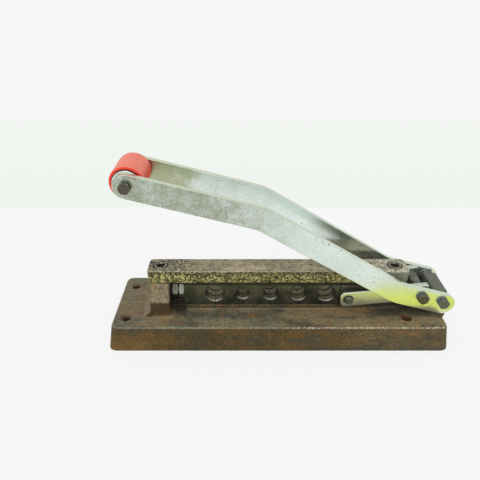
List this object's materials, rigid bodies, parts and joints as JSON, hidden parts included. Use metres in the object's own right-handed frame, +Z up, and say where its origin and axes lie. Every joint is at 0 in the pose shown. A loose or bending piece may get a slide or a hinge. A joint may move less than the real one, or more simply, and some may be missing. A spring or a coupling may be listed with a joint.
{
  "type": "hose crimper",
  "caption": "Bench mount hose crimper: a long bent lever with a grip roller pushes a row of split dies together along a cast base, closing ringed bores around hose ferrules.",
  "frame": {"origin": "centre of the base's flat underside, on its middle rib", "axes": "+X runs along the base towards the lever's pivot, -Y faces the user, +Z is up from the bench"},
  "size_m": [0.2992, 0.0788, 0.1608],
  "materials": {
    "cast_iron": "rough sand cast skin with brown rust",
    "bar_steel": "flat bar, pitted and lightly rusted",
    "die_steel": "dark oily tool steel",
    "black_steel": "black oxide, worn at the corners",
    "zinc_plate": "dull zinc plate with grease and age stains",
    "tube_steel": "plain turned steel, dull",
    "red_plastic": "smooth salmon red plastic, dirty at the ends"
  },
  "bodies": {
    "base": {"base_casting": "cast_iron", "top_bar": "bar_steel", "bar_screw_left": "black_steel", "bar_screw_right": "black_steel", "die_block_1": "die_steel"},
    "adjusting_bolt": {"adjusting_bolt": "black_steel"},
    "adjusting_nut": {"adjusting_lock_nut": "tube_steel"},
    "die_2": {"die_block_2": "die_steel"},
    "die_3": {"die_block_3": "die_steel"},
    "die_4": {"die_block_4": "die_steel"},
    "die_5": {"die_block_5": "die_steel"},
    "die_6": {"die_block_6": "die_steel"},
    "ram": {"ram_block": "die_steel", "ram_pin": "tube_steel"},
    "links": {"link_near": "zinc_plate", "link_far": "zinc_plate"},
    "lever": {"lever_bar_near": "zinc_plate", "lever_bar_far": "zinc_plate", "pivot_bolt": "black_steel", "pivot_nut": "black_steel", "crank_bolt": "black_steel", "crank_nut": "black_steel", "roller_bolt": "black_steel", "roller_nut": "black_steel", "pivot_bush": "tube_steel", "pivot_washer_near": "black_steel", "pivot_washer_far": "black_steel", "crank_spacer": "tube_steel", "crank_washer_near": "black_steel", "crank_washer_far": "black_steel", "roller_washer_near": "zinc_plate", "roller_washer_far": "zinc_plate", "roller_bush": "tube_steel"},
    "roller": {"handle_roller": "red_plastic"}
  },
  "joints": [
    {"name": "lever_swing", "type": "hinge", "parent": "base", "child": "lever", "pos_m": [0.14035, 0, 0.0403], "axis": [0, 1, 0], "range_deg": [0, 50]},
    {"name": "ram_slide", "type": "slide", "parent": "base", "child": "ram", "axis": [1, 0, 0], "range_m": [0, 0.01217]},
    {"name": "link_swing", "type": "hinge", "parent": "ram", "child": "links", "pos_m": [0.06095, 0, 0.0381], "axis": [0, -1, 0], "range_deg": [0, 12.37]},
    {"name": "die_2_slide", "type": "slide", "parent": "base", "child": "die_2", "axis": [1, 0, 0], "range_m": [0, 0.00243]},
    {"name": "die_3_slide", "type": "slide", "parent": "base", "child": "die_3", "axis": [1, 0, 0], "range_m": [0, 0.00487]},
    {"name": "die_4_slide", "type": "slide", "parent": "base", "child": "die_4", "axis": [1, 0, 0], "range_m": [0, 0.0073]},
    {"name": "die_5_slide", "type": "slide", "parent": "base", "child": "die_5", "axis": [1, 0, 0], "range_m": [0, 0.00974]},
    {"name": "die_6_slide", "type": "slide", "parent": "base", "child": "die_6", "axis": [1, 0, 0], "range_m": [0, 0.01217]},
    {"name": "roller_spin", "type": "hinge", "parent": "lever", "child": "roller", "pos_m": [-0.11872, 0, 0.14721], "axis": [0, 1, 0], "continuous": true},
    {"name": "adjusting_bolt_turn", "type": "hinge", "parent": "base", "child": "adjusting_bolt", "pos_m": [-0.08285, 0, 0.0388], "axis": [1, 0, 0], "continuous": true},
    {"name": "lock_nut_turn", "type": "hinge", "parent": "base", "child": "adjusting_nut", "pos_m": [-0.08285, 0, 0.0388], "axis": [1, 0, 0], "continuous": true}
  ],
  "couplings": [
    {"joint": "ram_slide", "follows": "lever_swing", "m_per_rad": 0.01395},
    {"joint": "link_swing", "follows": "lever_swing", "ratio": 0.2475},
    {"joint": "die_2_slide", "follows": "lever_swing", "m_per_rad": 0.00279},
    {"joint": "die_3_slide", "follows": "lever_swing", "m_per_rad": 0.00558},
    {"joint": "die_4_slide", "follows": "lever_swing", "m_per_rad": 0.00837},
    {"joint": "die_5_slide", "follows": "lever_swing", "m_per_rad": 0.01116},
    {"joint": "die_6_slide", "follows": "lever_swing", "m_per_rad": 0.01395}
  ]
}
